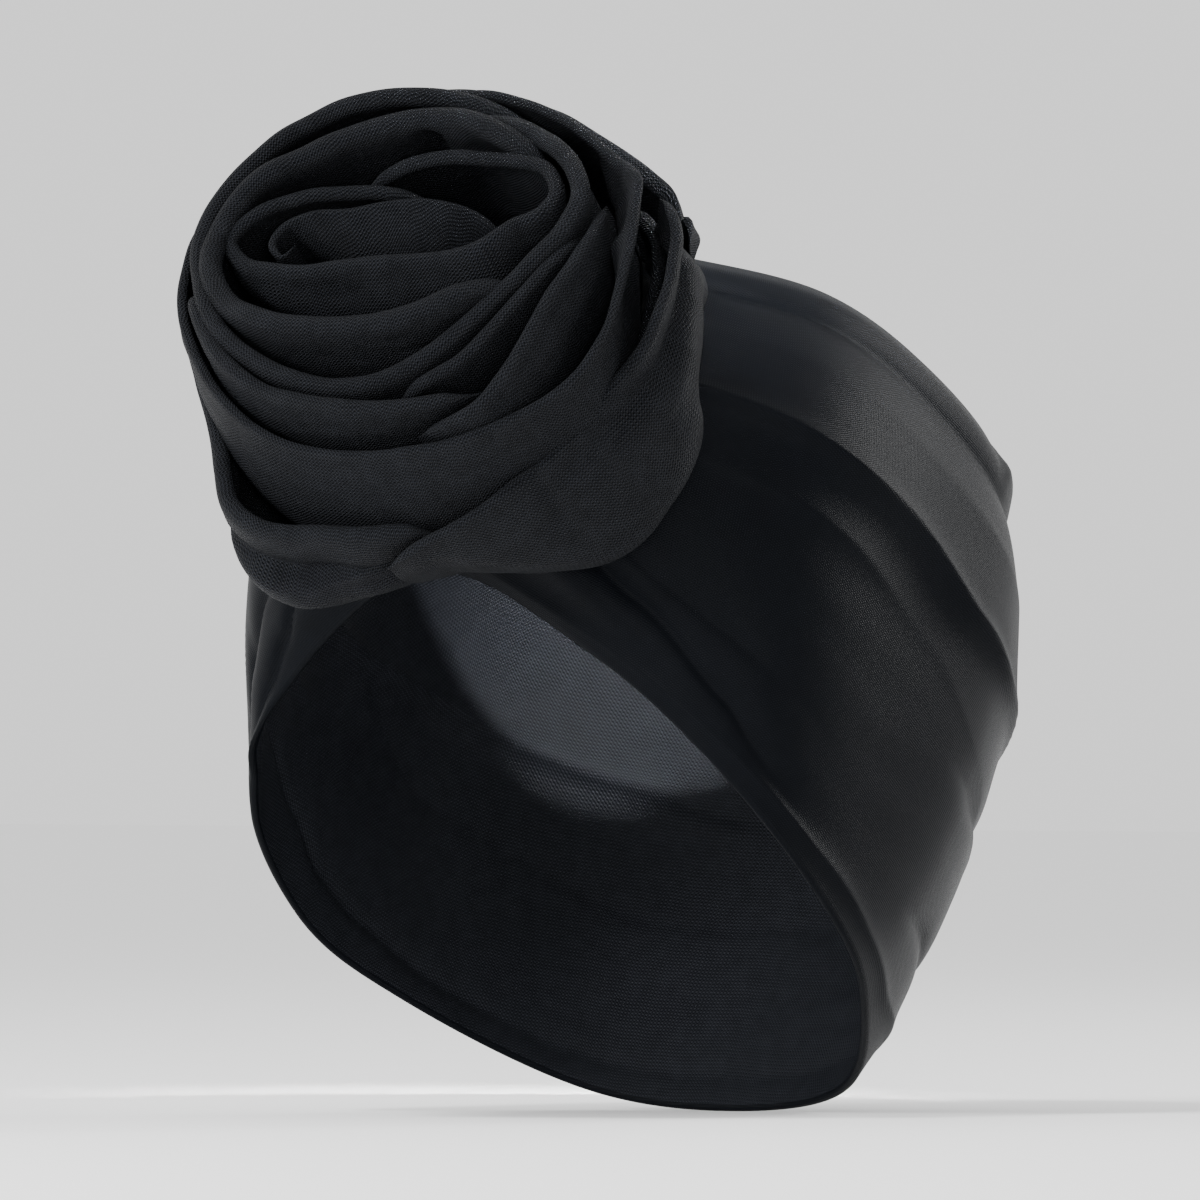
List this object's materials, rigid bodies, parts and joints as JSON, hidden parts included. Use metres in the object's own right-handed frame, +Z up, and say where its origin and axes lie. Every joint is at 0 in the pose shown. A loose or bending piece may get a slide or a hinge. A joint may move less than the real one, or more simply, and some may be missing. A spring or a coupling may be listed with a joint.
{
  "type": "turban headwrap",
  "caption": "Wide stretch-cloth turban headwrap with an open crown and a large wound rosette on its front.",
  "frame": {"origin": "middle of the head that the band goes round", "axes": "+Z up as worn, -Y out of the wearer's face towards the rosette, +X to the wearer's left"},
  "size_m": [0.1651, 0.2255, 0.2305],
  "materials": {
    "band_cloth": "satin",
    "rosette_cloth": "matte"
  },
  "bodies": {
    "root": {"head_band": "band_cloth", "eye_fold": "rosette_cloth", "inner_wrap": "rosette_cloth", "middle_wrap": "rosette_cloth", "outer_wrap": "rosette_cloth", "left_ruffle": "rosette_cloth", "right_ruffle": "rosette_cloth"}
  },
  "joints": []
}
